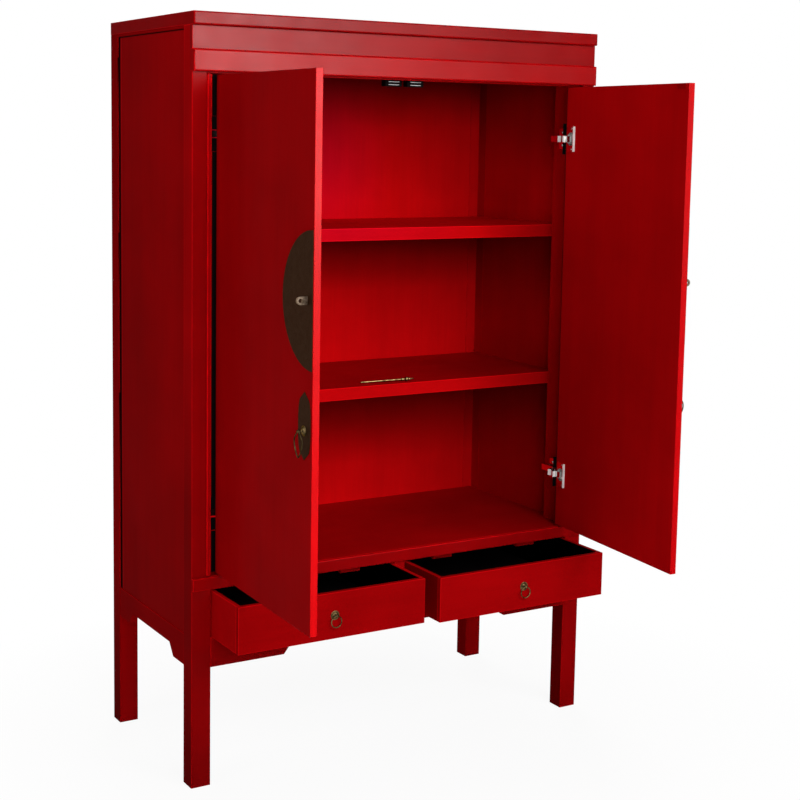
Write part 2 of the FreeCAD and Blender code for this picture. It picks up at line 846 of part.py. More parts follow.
def lock_pin():
    """The turned pin that lies on the lower shelf, tail and ball touching it."""
    collar_end = pin_rod_length + pin_collar_length
    half_ball = math.sqrt(pin_ball_radius ** 2 - pin_neck_radius ** 2)
    ball_middle = collar_end + pin_neck_length + half_ball
    disc_start = ball_middle + half_ball
    profile = [(0, pin_rod_radius), (pin_rod_length, pin_rod_radius), (pin_rod_length, pin_collar_radius),
               (collar_end, pin_collar_radius), (collar_end, pin_neck_radius)]
    steps = 12
    start = math.asin(pin_neck_radius / pin_ball_radius)
    for step in range(steps + 1):
        angle = start + (math.pi - 2 * start) * step / steps
        profile.append((ball_middle - pin_ball_radius * math.cos(angle), pin_ball_radius * math.sin(angle)))
    disc_end = disc_start + pin_disc_length
    profile += [(disc_start, pin_disc_radius), (disc_end, pin_disc_radius),
                (disc_end + pin_tip_length, pin_tip_radius)]
    droop = math.degrees(math.asin((pin_ball_radius - pin_rod_radius) / ball_middle))
    tail = Vector(pin_tail_x, shelf_front + pin_tail_inset, lower_shelf_height + pin_rod_radius + pin_rest_gap)
    pin = revolved(profile, origin, x_axis)
    pin.rotate(origin, y_axis, -droop)
    pin.rotate(origin, z_axis, pin_turn)
    pin.translate(tail)
    return pin


def case_nodes():
    """Every piece of the case, by name."""
    nodes = {}
    for side in (left_side, right_side):
        name = side_names[side]
        nodes["front_" + name + "_leg"] = on_side(front_leg(), side)
        nodes["back_" + name + "_leg"] = on_side(back_leg(), side)
        nodes[name + "_side_panel"] = on_side(side_panel(), side)
        nodes[name + "_side_rail"] = on_side(side_rail(), side)
        nodes[name + "_hinge_batten"] = on_side(hinge_batten(), side)
    nodes["top_board"] = top_board()
    nodes["cornice_fascia"] = cornice_fascia()
    nodes["cornice_moulding"] = cornice_moulding()
    nodes["front_top_rail"] = front_top_rail()
    nodes["side_cap_strips"] = side_cap_strips()
    nodes["back_panel"] = back_panel()
    nodes["back_bottom_rail"] = back_bottom_rail()
    nodes["floor_board"] = floor_board()
    nodes["waist_moulding"] = waist_moulding()
    nodes["lower_shelf"] = shelf(lower_shelf_height)
    nodes["upper_shelf"] = shelf(upper_shelf_height)
    nodes["door_beads"] = door_beads()
    nodes["front_apron"] = front_apron()
    nodes["drawer_divider"] = drawer_divider()
    nodes["drawer_runners"] = drawer_runners()
    nodes["drawer_stop_blocks"] = drawer_stop_blocks()
    nodes["magnetic_catches"] = magnetic_catches()
    nodes["catch_poles"] = catch_poles()
    nodes["hinge_mounting_plates"] = both_sides([hinge_plate(level) for level in hinge_heights])
    nodes["hinge_arms"] = both_sides([hinge_arm(level) for level in hinge_heights])
    nodes["hinge_screws"] = hinge_screws()
    nodes["lock_pin"] = lock_pin()
    return nodes


def both_sides(solids):
    """The listed right-hand solids and their mirror images."""
    return Part.makeCompound(solids + [mirrored(solid) for solid in solids])


def door_nodes(side):
    """Every piece of one door, swung open, by name."""
    name = side_names[side]
    closed = {"_door_panel": door_panel(), "_half_moon_plate": half_moon_plate(), "_hasp_eye": hasp_eye(),
              "_escutcheon": escutcheon(), "_pull_rosette": pull_rosette(), "_drop_pull": drop_pull(),
              "_hinge_cups": hinge_cups(), "_strike_plate": strike_plate()}
    nodes = {name + ending: swung_open(shape, side) for ending, shape in closed.items()}
    links = Part.makeCompound([hinge_link(level) for level in hinge_heights])
    nodes[name + "_hinge_links"] = swung_open(links, side, link_share)
    return nodes


def drawer_nodes(side):
    """Every piece of one drawer, pulled out, by name."""
    name = side_names[side]
    closed = {"_drawer_front": drawer_front(), "_drawer_box": drawer_box(), "_drawer_bottom": drawer_base(),
              "_ring_rosette": ring_rosette(), "_ring_pull": ring_pull()}
    return {name + ending: pulled_out(shape, side) for ending, shape in closed.items()}


def main():
    """Writes one file for each piece."""
    os.makedirs("parts", exist_ok=True)
    nodes = case_nodes()
    for side in (left_side, right_side):
        nodes.update(door_nodes(side))
        nodes.update(drawer_nodes(side))
    for name, shape in nodes.items():
        shape.exportStep("parts/" + name + ".step")
    print(len(nodes), "pieces")


main()
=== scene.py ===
"""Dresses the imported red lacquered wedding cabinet: materials, fine metalwork, floor, lights and camera.

The frame is the CAD's: metres, the origin on the floor in the plane of the case's front, -Y towards the
viewer, +Z up. The doors and drawers stand open at rest.
"""

import math

import bmesh
import bpy
from mathutils import Matrix, Vector


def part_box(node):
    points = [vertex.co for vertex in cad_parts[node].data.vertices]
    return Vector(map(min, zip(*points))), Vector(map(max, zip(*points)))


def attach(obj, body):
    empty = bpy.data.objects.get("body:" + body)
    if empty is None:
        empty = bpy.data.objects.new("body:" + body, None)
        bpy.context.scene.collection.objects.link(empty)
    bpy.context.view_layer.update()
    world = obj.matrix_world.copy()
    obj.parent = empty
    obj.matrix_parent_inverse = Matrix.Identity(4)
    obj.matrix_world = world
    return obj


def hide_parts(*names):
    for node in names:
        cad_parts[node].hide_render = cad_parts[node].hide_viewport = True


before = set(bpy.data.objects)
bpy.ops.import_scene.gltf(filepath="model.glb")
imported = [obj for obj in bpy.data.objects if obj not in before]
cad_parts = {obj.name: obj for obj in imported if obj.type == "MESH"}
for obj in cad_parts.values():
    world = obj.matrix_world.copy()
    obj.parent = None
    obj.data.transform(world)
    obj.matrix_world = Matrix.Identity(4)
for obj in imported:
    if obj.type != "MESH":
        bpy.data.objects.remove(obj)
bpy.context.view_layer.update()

mm = 0.001
sides = {"left": -1, "right": 1}

# Where the doors turn, and how far they stand open at rest
swing_x = 491.1 * mm
swing_y = -2.2 * mm
door_turn = {"left": math.radians(-92.45), "right": math.radians(84.75)}
door_free_x = 3.5 * mm

# Where the metalwork sits: on a door, across from its free edge, out from its face, and up
escutcheon_across = 34 * mm
escutcheon_level = 918 * mm
escutcheon_half_height = 68.5 * mm
escutcheon_thickness = 1.2 * mm
escutcheon_sink = 0.05 * mm
escutcheon_nail_rise = 40 * mm
plate_edge = 0.3 * mm
pull_level = 908.5 * mm
pull_reach = 12.5 * mm
moon_level = 1168 * mm
moon_nail_across = 24 * mm
moon_nail_rise = 115 * mm
ring_across = 258 * mm
ring_level = 405.6 * mm
ring_reach = 8 * mm
drawer_face = {"left": -140.5 * mm, "right": -157.2 * mm}

# Half the escutcheon's width in millimetres, by the share of its half height. Its shoulder is a corner.
escutcheon_shoulder = 5
escutcheon_half_widths = (
    (28.0, 0.0), (28.0, 0.2), (27.3, 0.4), (25.7, 0.55), (23.6, 0.67), (20.8, 0.76),
    (16.6, 0.815), (11.0, 0.875), (5.4, 0.94), (0.0, 1.0),
)

# The leaf's right half in millimetres, across from its middle and up from its pin
leaf_line = (
    (5.1, 1.6), (5.5, -1.5), (8.2, -5.4), (13.0, -10.4), (16.9, -15.6), (18.4, -21.5),
    (17.3, -29.0), (13.4, -37.0), (8.3, -44.6), (3.4, -50.4), (0.0, -52.4),
)
leaf_band = 3.2 * mm
leaf_depth = 2.4 * mm
leaf_steps = 4

# The section of the leaf's band, as shares of half its width and half its depth
leaf_section = (
    (1.0, 0.0), (0.84, 0.6), (0.4, 1.0), (-0.4, 1.0), (-0.84, 0.6),
    (-1.0, 0.0), (-0.84, -0.6), (-0.4, -1.0), (0.4, -1.0), (0.84, -0.6),
)

# The pin that the leaf hangs from, turned: radius, and place along it
leaf_pin_profile = (
    (0.7, -7.4), (1.3, -7.0), (1.5, -6.4), (1.2, -5.8), (1.2, 5.8), (1.5, 6.4), (1.3, 7.0), (0.7, 7.4),
)
leaf_pin_segments = 16

# A rosette's turned profile in millimetres: radius, and share of the bulb's height
rosette_profile = (
    (10.2, 0.0), (11.0, 0.06), (11.0, 0.14), (10.5, 0.22), (9.8, 0.24), (9.1, 0.2), (8.7, 0.16),
    (8.3, 0.26), (7.7, 0.5), (6.5, 0.74), (4.8, 0.9), (3.1, 0.98), (2.5, 1.05),
)
ball_radius = 3.6 * mm
post_radius = 2.3 * mm
pull_bulb = 5.6 * mm
ring_bulb = 4.6 * mm
ball_steps = 10
rosette_segments = 32

# A nail's turned profile in millimetres: radius and height
nail_profile = ((2.0, 0.0), (1.95, 0.3), (1.6, 0.65), (0.9, 0.88), (0.0, 0.95))
nail_segments = 20

# The black strip behind each door's hinge edge, a dark piece put where there is only shade in the gap, by its
# sections in millimetres: inwards from the post's inner side, and deep into the case. Its fin steps back past
# the hinges, and leaves room for their arms.
post_inner_x = 502 * mm
cup_plate_half = 31 * mm
cup_room = 8 * mm
arm_room = 9.5 * mm
strip_break = 0.3 * mm
strip_low = 496 * mm
strip_high = 1616 * mm
strip_edge = 0.15 * mm
front_fin = ((0.0, 19.0), (20.6, 19.0), (21.0, 19.3), (20.6, 20.0), (1.2, 20.2), (1.2, 30.0), (0.0, 30.0))
back_fin = (
    (0.0, 19.0), (1.2, 19.0), (1.2, 25.0), (26.0, 25.0), (26.4, 25.4), (26.0, 26.0), (1.2, 26.2),
    (1.2, 30.0), (0.0, 30.0),
)
strip_red = (0.13, 0.0004, 0.0008, 1)
strip_red_from = 493.5 * mm

# Lacquer: its hue, the hue of the painted cool reflection in the upper left corner inside, and the tone and
# gloss of pieces that name none
lacquer_hue = (1.0, 0.003, 0.006, 1)
cool_reflection_hue = (1.0, 0.003, 0.032, 1)
cool_reflection_nodes = ("back_panel", "upper_shelf")
lacquer_specular = 0.0005
plain_tone = 0.3

# The rims of the boards, brighter as rubbed wear and as a painted highlight: how much brighter, how wide, and
# the boards that differ
rim_rub_and_highlight = 2.1
rim_width = 2.0 * mm
rim_rubs_and_highlights = {"waist_moulding": 3.2, "floor_board": 2.8}

# Where the painted cool reflection inside the case fades: out across, and in upwards
cool_reflection_across = (-0.1, 0.25)
cool_reflection_up = (1.15, 1.4)

# The lacquer's clouds, brush streaks and broad bands: turns per metre, detail, and reach of their factor
lacquer_clouds = (5.0, 3.0, 0.1)
lacquer_streaks = (160.0, 4.0, 0.03)
lacquer_bands = (26.0, 2.0, 0.04)

# The noise that varies the lacquer's roughness, and the lowest and highest roughness
lacquer_wear = (14.0, 4.0)
lacquer_roughness = (0.28, 0.39)

# The lacquer's bump: strength and depth
lacquer_bump = (0.08, 0.4 * mm)

# The painted highlight on the crown of the door beads: the way it looks on the right, the cosines between
# which it starts and is full, and how much brighter it is
bead_highlight_way = (0.5, -0.866)
bead_highlight_cosines = (0.95, 0.99)
bead_highlight_gain = 2.3

# How bright each piece's lacquer is, as its linear red, and by the way a face looks where that differs. These
# levels are painted light and shade, with pieces and faces made lighter or darker for how the light falls on
# them
tones_with_painted_shade = {
    "back_panel": {"all": 0.55},
    "upper_shelf": {"all": 0.4, "-y": 0.475, "+z": 0.45},
    "lower_shelf": {"all": 0.34, "-y": 0.415, "+z": 0.32},
    "left_door_panel": {"all": 0.343, "-y": 0.55},
    "right_door_panel": {"all": 0.36, "-y": 0.43},
    "right_hinge_batten": {"all": 0.34},
    "left_side_panel": {"all": 0.3},
    "right_side_panel": {"all": 0.36},
    "front_left_leg": {"all": 0.3, "-y": 0.224},
    "front_right_leg": {"all": 0.25, "-y": 0.214, "-x": 0.12},
    "back_left_leg": {"all": 0.26, "-y": 0.275},
    "back_right_leg": {"all": 0.25},
    "left_side_rail": {"all": 0.26},
    "right_side_rail": {"all": 0.26},
    "floor_board": {"all": 0.32},
    "top_board": {"all": 0.28, "-y": 0.22},
    "cornice_fascia": {"all": 0.28, "-y": 0.255},
    "cornice_moulding": {"all": 0.33},
    "front_apron": {"all": 0.25, "-y": 0.225},
    "left_drawer_front": {"all": 0.3, "-y": 0.24},
    "right_drawer_front": {"all": 0.3, "-y": 0.275},
    "left_drawer_box": {"all": 0.42},
    "right_drawer_box": {"all": 0.3, "-x": 0.19},
    "waist_moulding": {"all": 0.3, "-y": 0.26},
}

# The specular level of the pieces that shine more than the rest
sheen_specular = {
    "top_board": 0.002, "cornice_fascia": 0.002, "cornice_moulding": 0.002, "left_door_panel": 0.0016,
    "right_door_panel": 0.0007, "left_side_panel": 0.0007, "front_left_leg": 0.0007,
}

# How the noises stretch along the grain, by axis
grain_axis = {
    "across": (0.05, 1.0, 1.0),
    "deep": (1.0, 0.05, 1.0),
    "up": (1.0, 1.0, 0.05),
}

# Painted reflection and shade on the front of the hinge arms: the painted dark of the gap's shade on the
# left, and a painted reflection of the lacquer on the right
arm_painted_reflections = ((0.012, 0.003, 0.003, 1), (0.16, 0.012, 0.016, 1))

# Black inside of the drawers
drawer_black = (0.0006, 0.0005, 0.0006, 1)
drawer_wall = 10 * mm
drawer_back_wall = 10 * mm
drawer_slack = 1.5 * mm
paint_step = 0.3 * mm

# The range that most of a noise lies in, and the cosines between which a face's own tone starts and is full
noise_range = (0.3, 0.7)
face_cosines = (0.6, 0.85)

# Painted shade in the joints round the side panels: the dark line under the cap strip, and the upright one
# beside the leg, with a painted highlight on the edge in front of it
joint_line = 2.4 * mm
joint_fade = 1.6 * mm
joint_shade = 0.04
upright_line = 12 * mm
upright_fade = 2.0 * mm
upright_shade = 0.02
lit_line = 3 * mm
lit_inwards = 18 * mm
lit_factor = 1.5

# The painted shadow under each shelf and the top: ceiling height, reach on the back and reach on a side, and
# below them how dark the painted shadow gets on the back and on a side
ceilings = ((1.665, 0.15, 0.27), (1.243, 0.17, 0.27), (0.848, 0.25, 0.25))
ceiling_back = 0.05
ceiling_side = 0.3
ceiling_step = 2 * mm

# Painted light and shade, by how the factor of a face changes from one place to another: face, axis, start,
# end and both factors
fades = {
    "back_panel": (("-y", 0, 0.1, 0.45, 1.02, 0.88),),
    "top_board": (("-y", 0, -0.1, 0.5, 1.05, 0.9),),
    "cornice_fascia": (("-y", 0, -0.2, 0.5, 1.06, 0.84),),
    "cornice_moulding": (("-y", 0, -0.2, 0.5, 1.06, 0.84),),
    "upper_shelf": (("-y", 0, 0.25, 0.5, 1.0, 0.5),),
    "lower_shelf": (("-y", 0, 0.2, 0.5, 1.0, 0.62),),
    "left_side_panel": (("-x", 1, 0.05, 0.45, 1.08, 0.92), ("-x", 2, 0.4, 1.3, 0.88, 1.12)),
    "front_left_leg": (
        ("-y", 2, 0.05, 0.6, 0.62, 1.15),
        ("-x", 2, 0.1, 0.3, 0.41, 0.73),
        ("-x", 2, 0.65, 1.05, 1.0, 1.9),
    ),
    "back_left_leg": (("-x", 2, 0.05, 0.42, 0.5, 1.0),),
    "front_right_leg": (("-y", 2, 0.05, 0.4, 0.88, 1.3),),
    "right_side_panel": (("-x", 2, 1.2, 1.3, 1.0, 1.25),),
    "right_door_panel": (("-x", 2, 1.25, 1.5, 0.97, 1.1),),
    "back_right_leg": (("-y", 2, 0.45, 0.5, 1.0, 1.8), ("-x", 2, 0.45, 0.5, 1.0, 1.3)),
}

# Metals: colour where tarnished, where rubbed and at a grazing angle, roughness, turns per metre of the
# patches, and the bump's strength
metals = {
    "dark_bronze": ((0.03, 0.0125, 0.005), (0.036, 0.0165, 0.0075), (0.55, 0.53, 0.53), 0.55, 60.0, 0.1),
    "aged_brass": ((0.02, 0.014, 0.006), (0.17, 0.115, 0.05), (0.5, 0.4, 0.25), 0.32, 110.0, 0.1),
    "rubbed_bronze": ((0.1, 0.07, 0.045), (0.3, 0.22, 0.16), (0.6, 0.5, 0.4), 0.34, 120.0, 0.1),
    "bright_brass": ((0.06, 0.042, 0.016), (0.36, 0.25, 0.1), (0.6, 0.5, 0.3), 0.3, 110.0, 0.1),
    "dark_brass": ((0.016, 0.012, 0.006), (0.085, 0.058, 0.026), (0.5, 0.4, 0.3), 0.36, 90.0, 0.1),
    "nickel": ((0.62, 0.6, 0.58), (0.8, 0.79, 0.78), (0.8, 0.8, 0.8), 0.14, 30.0, 0.03),
    "pole_steel": ((0.25, 0.25, 0.25), (0.4, 0.4, 0.4), (0.5, 0.5, 0.5), 0.35, 60.0, 0.1),
}

# What the metals share: detail and range of the patches, the grain's noise, how far it moves the roughness,
# the bump's depth, and how metallic the satin front faces of the nickel are
patch_detail = 4.0
patch_range = (0.35, 0.65)
metal_grain = (400.0, 3.0)
metal_roughness_reach = 0.06
metal_bump_depth = 0.2 * mm
satin_metallic = 0.15

# Dark coats: darkest and palest colour, noise, lowest and highest roughness, specular level, the bump's
# noise, and its strength and depth
dark_coats = {
    "drawer_paint": (
        (0.004, 0.003, 0.003, 1), (0.012, 0.008, 0.009, 1), (12.0, 4.0), (0.4, 0.55), 0.02,
        (200.0, 3.0), (0.1, 0.3 * mm),
    ),
    "plastic": (
        (0.001, 0.0005, 0.0005, 1), (0.003, 0.002, 0.002, 1), (900.0, 2.0), (0.45, 0.6), 0.03,
        (900.0, 2.0), (0.1, 0.1 * mm),
    ),
}

# Rounded edges of the solids, by their width and least angle, and what makes their meshes even before that
wood_edge = 1.0 * mm
bead_edge = 3.5 * mm
door_edge = 0.7 * mm
drawer_edge = 0.6 * mm
edge_segments = 2
edge_angle = math.radians(38)
plate_angle = math.radians(50)
weld_reach = 0.01 * mm
flat_angle = math.radians(0.5)
join_reach = 0.001 * mm
curve_steps = 5

# Floor and world
world_level = 0.03
floor_reach = 12.0
floor_noise = (3.0, 3.0)
floor_shades = (0.86, 0.88)
floor_roughness = 0.9
floor_glow = 0.92
floor_glow_range = (0.5, 1.3)

# Lights: each one's azimuth from the front (left is negative), elevation, share of full light, width, height
lit_point = Vector((0.0, 0.0, 0.9))
light_distance = 4.5
lights = {
    "key": (7, 32, 0.87, 3.2, 2.0),
    "low": (-20, 8, 0.34, 1.5, 1.5),
    "left": (-75, 32, 0.18, 1.5, 1.5),
    "back": (160, 30, 0.4, 2.5, 2.0),
}
sheen_place = (1.15, -4.6, 2.2)
sheen_target = (0.0, -0.3, 1.6)
sheen_width = 2.0
sheen_height = 2.2
sheen_radiance = 1110.0

# Camera
camera_place = (-1.88815, -3.05516, 1.48865)
camera_yaw = math.radians(30.43)
camera_pitch = math.radians(-6.75)
camera_roll = math.radians(0.88)
camera_lens = 68.2254
camera_sensor = 36
camera_shift = (0.0366, -0.1063)
camera_clip = (0.05, 60)


# Node graph helpers

def feed(tree, value, socket):
    """Links value into socket where it is another node's output, and sets it as a number otherwise."""
    if isinstance(value, bpy.types.NodeSocket):
        tree.links.new(value, socket)
    else:
        socket.default_value = value


def add_node(tree, kind, **settings):
    made = tree.nodes.new(kind)
    for name, value in settings.items():
        setattr(made, name, value)
    return made


def maths(tree, operation, first, second=None):
    made = add_node(tree, "ShaderNodeMath", operation=operation)
    feed(tree, first, made.inputs[0])
    if second is not None:
        feed(tree, second, made.inputs[1])
    return made.outputs[0]


def vector_maths(tree, operation, first, second):
    made = add_node(tree, "ShaderNodeVectorMath", operation=operation)
    feed(tree, first, made.inputs[0])
    feed(tree, second, made.inputs[1])
    return made.outputs[0]


def spread(tree, value, from_low, from_high, to_low, to_high):
    """Value mapped from one range to another, held at the ends."""
    made = add_node(tree, "ShaderNodeMapRange", clamp=True)
    for index, number in enumerate((value, from_low, from_high, to_low, to_high)):
        feed(tree, number, made.inputs[index])
    return made.outputs[0]


def noise(tree, place, scale, detail, stretch=None):
    """A noise from 0 to 1. Scale is in turns per metre, and stretch multiplies it by axis."""
    if stretch is not None:
        place = vector_maths(tree, "MULTIPLY", place, stretch)
    made = add_node(tree, "ShaderNodeTexNoise")
    feed(tree, place, made.inputs["Vector"])
    made.inputs["Scale"].default_value = scale
    made.inputs["Detail"].default_value = detail
    return made.outputs["Fac"]


def varied(tree, pattern, low, high):
    """A noise spread over a range of values."""
    return spread(tree, pattern, *noise_range, low, high)


def mix_colours(tree, share, first, second):
    made = add_node(tree, "ShaderNodeMix", data_type="RGBA")
    feed(tree, share, made.inputs["Factor"])
    feed(tree, first, made.inputs[6])
    feed(tree, second, made.inputs[7])
    return made.outputs[2]


def scaled_colour(tree, colour, factor):
    made = add_node(tree, "ShaderNodeVectorMath", operation="SCALE")
    feed(tree, colour, made.inputs[0])
    feed(tree, factor, made.inputs["Scale"])
    return made.outputs[0]


def place_at_rest(tree, side=None):
    """The piece's own coordinates in the row frame; with a side, turned back to that door's closed place."""
    place = add_node(tree, "ShaderNodeTexCoord").outputs["Object"]
    if side is None:
        return place
    pivot = Vector((sides[side] * swing_x, swing_y, 0))
    back = Matrix.Rotation(-door_turn[side], 3, "Z")
    turned = add_node(tree, "ShaderNodeMapping")
    feed(tree, place, turned.inputs["Vector"])
    turned.inputs["Rotation"].default_value = (0, 0, -door_turn[side])
    turned.inputs["Location"].default_value = pivot - back @ pivot
    return turned.outputs["Vector"]


def new_material(name):
    """A material with its Principled shader, as (material, tree, shader)."""
    material = bpy.data.materials.new(name)
    material.use_nodes = True
    tree = material.node_tree
    return material, tree, tree.nodes["Principled BSDF"]


def set_bump(tree, shader, height, strength, distance):
    bump = add_node(tree, "ShaderNodeBump")
    bump.inputs["Strength"].default_value = strength
    bump.inputs["Distance"].default_value = distance
    feed(tree, height, bump.inputs["Height"])
    feed(tree, bump.outputs["Normal"], shader.inputs["Normal"])


def axes_of(tree, place):
    made = add_node(tree, "ShaderNodeSeparateXYZ")
    feed(tree, place, made.inputs[0])
    return made.outputs


def edge_distance(tree, place, low, high):
    """How far a point on a box's surface is from the box's nearest edge."""
    gaps = []
    for value, start, end in zip(axes_of(tree, place), low, high):
        from_start = maths(tree, "SUBTRACT", value, start)
        to_end = maths(tree, "SUBTRACT", end, value)
        gaps.append(maths(tree, "MINIMUM", from_start, to_end))
    near = maths(tree, "MINIMUM", gaps[0], gaps[1])
    far = maths(tree, "MAXIMUM", gaps[0], gaps[1])
    return maths(tree, "MAXIMUM", near, maths(tree, "MINIMUM", far, gaps[2]))


def face_share(tree, face):
    """1 where the surface looks along the named way of the row frame, such as -y, and 0 elsewhere."""
    facing = axes_of(tree, add_node(tree, "ShaderNodeTexCoord").outputs["Normal"])["xyz".index(face[1])]
    if face[0] == "-":
        facing = maths(tree, "MULTIPLY", facing, -1.0)
    return spread(tree, facing, *face_cosines, 0.0, 1.0)


def mix_numbers(tree, share, first, second):
    made = add_node(tree, "ShaderNodeMix", data_type="FLOAT")
    feed(tree, share, made.inputs[0])
    feed(tree, first, made.inputs[2])
    feed(tree, second, made.inputs[3])
    return made.outputs[0]


def within(tree, value, low, high):
    """1 where value lies between low and high, with a thin soft step at each end."""
    above = spread(tree, value, low - paint_step, low, 0.0, 1.0)
    below = spread(tree, value, high, high + paint_step, 1.0, 0.0)
    return maths(tree, "MULTIPLY", above, below)


# Lacquer

def lacquer_layer(tree, place, layer, stretch=None):
    """One noise of the lacquer, as its factor near 1 and the noise itself."""
    scale, detail, reach = layer
    pattern = noise(tree, place, scale, detail, stretch)
    return varied(tree, pattern, 1 - reach, 1 + reach), pattern


def lacquer_factor(tree, place, grain):
    """Clouds, brush streaks and broad bands as one factor near 1, with the streaks' own height."""
    stretch = grain_axis[grain]
    clouds = lacquer_layer(tree, place, lacquer_clouds)[0]
    bands = lacquer_layer(tree, place, lacquer_bands, stretch)[0]
    lines, streaks = lacquer_layer(tree, place, lacquer_streaks, stretch)
    factor = maths(tree, "MULTIPLY", maths(tree, "MULTIPLY", clouds, lines), bands)
    return factor, streaks


def painted_cool_reflection(tree, place):
    """The lacquer's hue, with a painted cool reflection towards the upper left inside the case."""
    across, deep, up = axes_of(tree, place)
    aside = spread(tree, across, *cool_reflection_across, 1.0, 0.0)
    high = spread(tree, up, *cool_reflection_up, 0.0, 1.0)
    share = maths(tree, "MULTIPLY", maths(tree, "MULTIPLY", aside, high), face_share(tree, "-y"))
    return mix_colours(tree, share, lacquer_hue, cool_reflection_hue)


def lacquer(node, grain, side=None, edges=None, shade=None, inside=None):
    """Red lacquer, with painted light and shade in its tones, and rims brightened by rubbed wear and a
    painted highlight. shade(tree, place) gives a further factor of painted light and shade, and inside(tree,
    place) the share of black.
    """
    material, tree, shader = new_material(node + "_lacquer")
    tone = tones_with_painted_shade.get(node, {})
    place = place_at_rest(tree, side)
    factor, streaks = lacquer_factor(tree, place, grain)
    if edges is not None:
        # The rims are brighter by rubbed wear and by a painted highlight.
        gap = edge_distance(tree, place, *edges)
        rim_brightness = rim_rubs_and_highlights.get(node, rim_rub_and_highlight)
        factor = maths(tree, "MULTIPLY", factor, spread(tree, gap, 0.0, rim_width, rim_brightness, 1.0))
    if shade is not None:
        factor = maths(tree, "MULTIPLY", factor, shade(tree, place))
    # The levels by piece and by face paint light and shade into the lacquer.
    level = tone.get("all", plain_tone)
    for face, value in tone.items():
        if face != "all":
            level = mix_numbers(tree, face_share(tree, face), level, value)
    # The back panel and upper shelf take a painted cool reflection in the upper left corner.
    hue = painted_cool_reflection(tree, place) if node in cool_reflection_nodes else lacquer_hue[:3]
    colour = scaled_colour(tree, hue, maths(tree, "MULTIPLY", factor, level))
    if inside is not None:
        colour = mix_colours(tree, inside(tree, place), colour, drawer_black)
    feed(tree, colour, shader.inputs["Base Color"])
    worn = noise(tree, place, *lacquer_wear)
    feed(tree, varied(tree, worn, *lacquer_roughness), shader.inputs["Roughness"])
    shader.inputs["Specular IOR Level"].default_value = sheen_specular.get(node, lacquer_specular)
    set_bump(tree, shader, streaks, *lacquer_bump)
    return material


def line_at(tree, value, middle, width, fade, strength):
    """A factor that is strength on a line where value is near middle, and 1 away from it."""
    away = maths(tree, "ABSOLUTE", maths(tree, "SUBTRACT", value, middle))
    return spread(tree, away, width / 2, width / 2 + fade, strength, 1.0)


def only_on(tree, face, factor):
    """The factor on the faces that look the named way, and 1 elsewhere."""
    return mix_numbers(tree, face_share(tree, face), 1.0, factor)


def side_panel_joint_shade(tree, place, face):
    """Painted shade in the joints between a side panel and the strip above and the leg behind, with a painted
    highlight beside the upright one, on its outer face.
    """
    across, deep, up = axes_of(tree, place)
    cap_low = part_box("side_cap_strips")[0][2]
    leg_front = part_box("back_left_leg")[0][1]
    top = line_at(tree, up, cap_low - joint_line / 2, joint_line, joint_fade, joint_shade)
    back = line_at(tree, deep, leg_front - upright_line / 2, upright_line, upright_fade, upright_shade)
    lit = line_at(tree, deep, leg_front - lit_inwards, lit_line, upright_fade, lit_factor)
    lines = maths(tree, "MULTIPLY", maths(tree, "MULTIPLY", top, back), lit)
    return only_on(tree, face, lines)


def painted_shadow_under_ceilings(tree, place, face):
    """The painted shadow below the top and each shelf, on the faces that look the named way."""
    up = axes_of(tree, place)[2]
    darkest = ceiling_back if face == "-y" else ceiling_side
    factor = 1.0
    for level, back_reach, side_reach in ceilings:
        reach = back_reach if face == "-y" else side_reach
        below = spread(tree, up, level - reach, level, 1.0, darkest)
        above = spread(tree, up, level, level + ceiling_step, 0.0, 1.0)
        factor = maths(tree, "MULTIPLY", factor, mix_numbers(tree, above, below, 1.0))
    return only_on(tree, face, factor)


def wood_painted_shade(node):
    """The factor of painted light and shade that a wooden node's joints, ceilings and fades give, as a
    function of tree and place.
    """

    def shade(tree, place):
        factor = 1.0
        if node == "left_side_panel":
            factor = side_panel_joint_shade(tree, place, "-x")
        if node == "right_side_panel":
            factor = side_panel_joint_shade(tree, place, "+x")
        if node in ("back_panel", "back_right_leg", "back_left_leg"):
            factor = maths(tree, "MULTIPLY", factor, painted_shadow_under_ceilings(tree, place, "-y"))
        if node in ("right_side_panel", "back_right_leg"):
            factor = maths(tree, "MULTIPLY", factor, painted_shadow_under_ceilings(tree, place, "-x"))
        axes = axes_of(tree, place)
        for face, axis, start, end, first, last in fades.get(node, ()):
            step = only_on(tree, face, spread(tree, axes[axis], start, end, first, last))
            factor = maths(tree, "MULTIPLY", factor, step)
        return factor

    return shade


def painted_bead_highlight(tree, place):
    """A painted highlight on the crown of the round beads: brighter where they look out between the front and
    the side.
    """
    normal = add_node(tree, "ShaderNodeTexCoord").outputs["Normal"]
    crown = 0.0
    for sign in sides.values():
        facing = add_node(tree, "ShaderNodeVectorMath", operation="DOT_PRODUCT")
        feed(tree, normal, facing.inputs[0])
        facing.inputs[1].default_value = (sign * bead_highlight_way[0], bead_highlight_way[1], 0.0)
        crown = maths(tree, "MAXIMUM", crown, spread(tree, facing.outputs["Value"], *bead_highlight_cosines, 0.0, 1.0))
    return mix_numbers(tree, crown, 1.0, bead_highlight_gain)


def drawer_inside(side):
    """The share of black on a drawer's box or front: all that looks into the drawer."""
    low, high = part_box(side + "_drawer_box")

    def share(tree, place):
        across, deep, up = axes_of(tree, place)
        wide = within(tree, across, low[0] + drawer_wall - drawer_slack, high[0] - drawer_wall + drawer_slack)
        long = within(tree, deep, low[1] - paint_step, high[1] - drawer_back_wall + drawer_slack)
        under = spread(tree, up, high[2] - 2 * paint_step, high[2] - paint_step, 1.0, 0.0)
        return maths(tree, "MULTIPLY", maths(tree, "MULTIPLY", wide, long), under)

    return share


# Metals

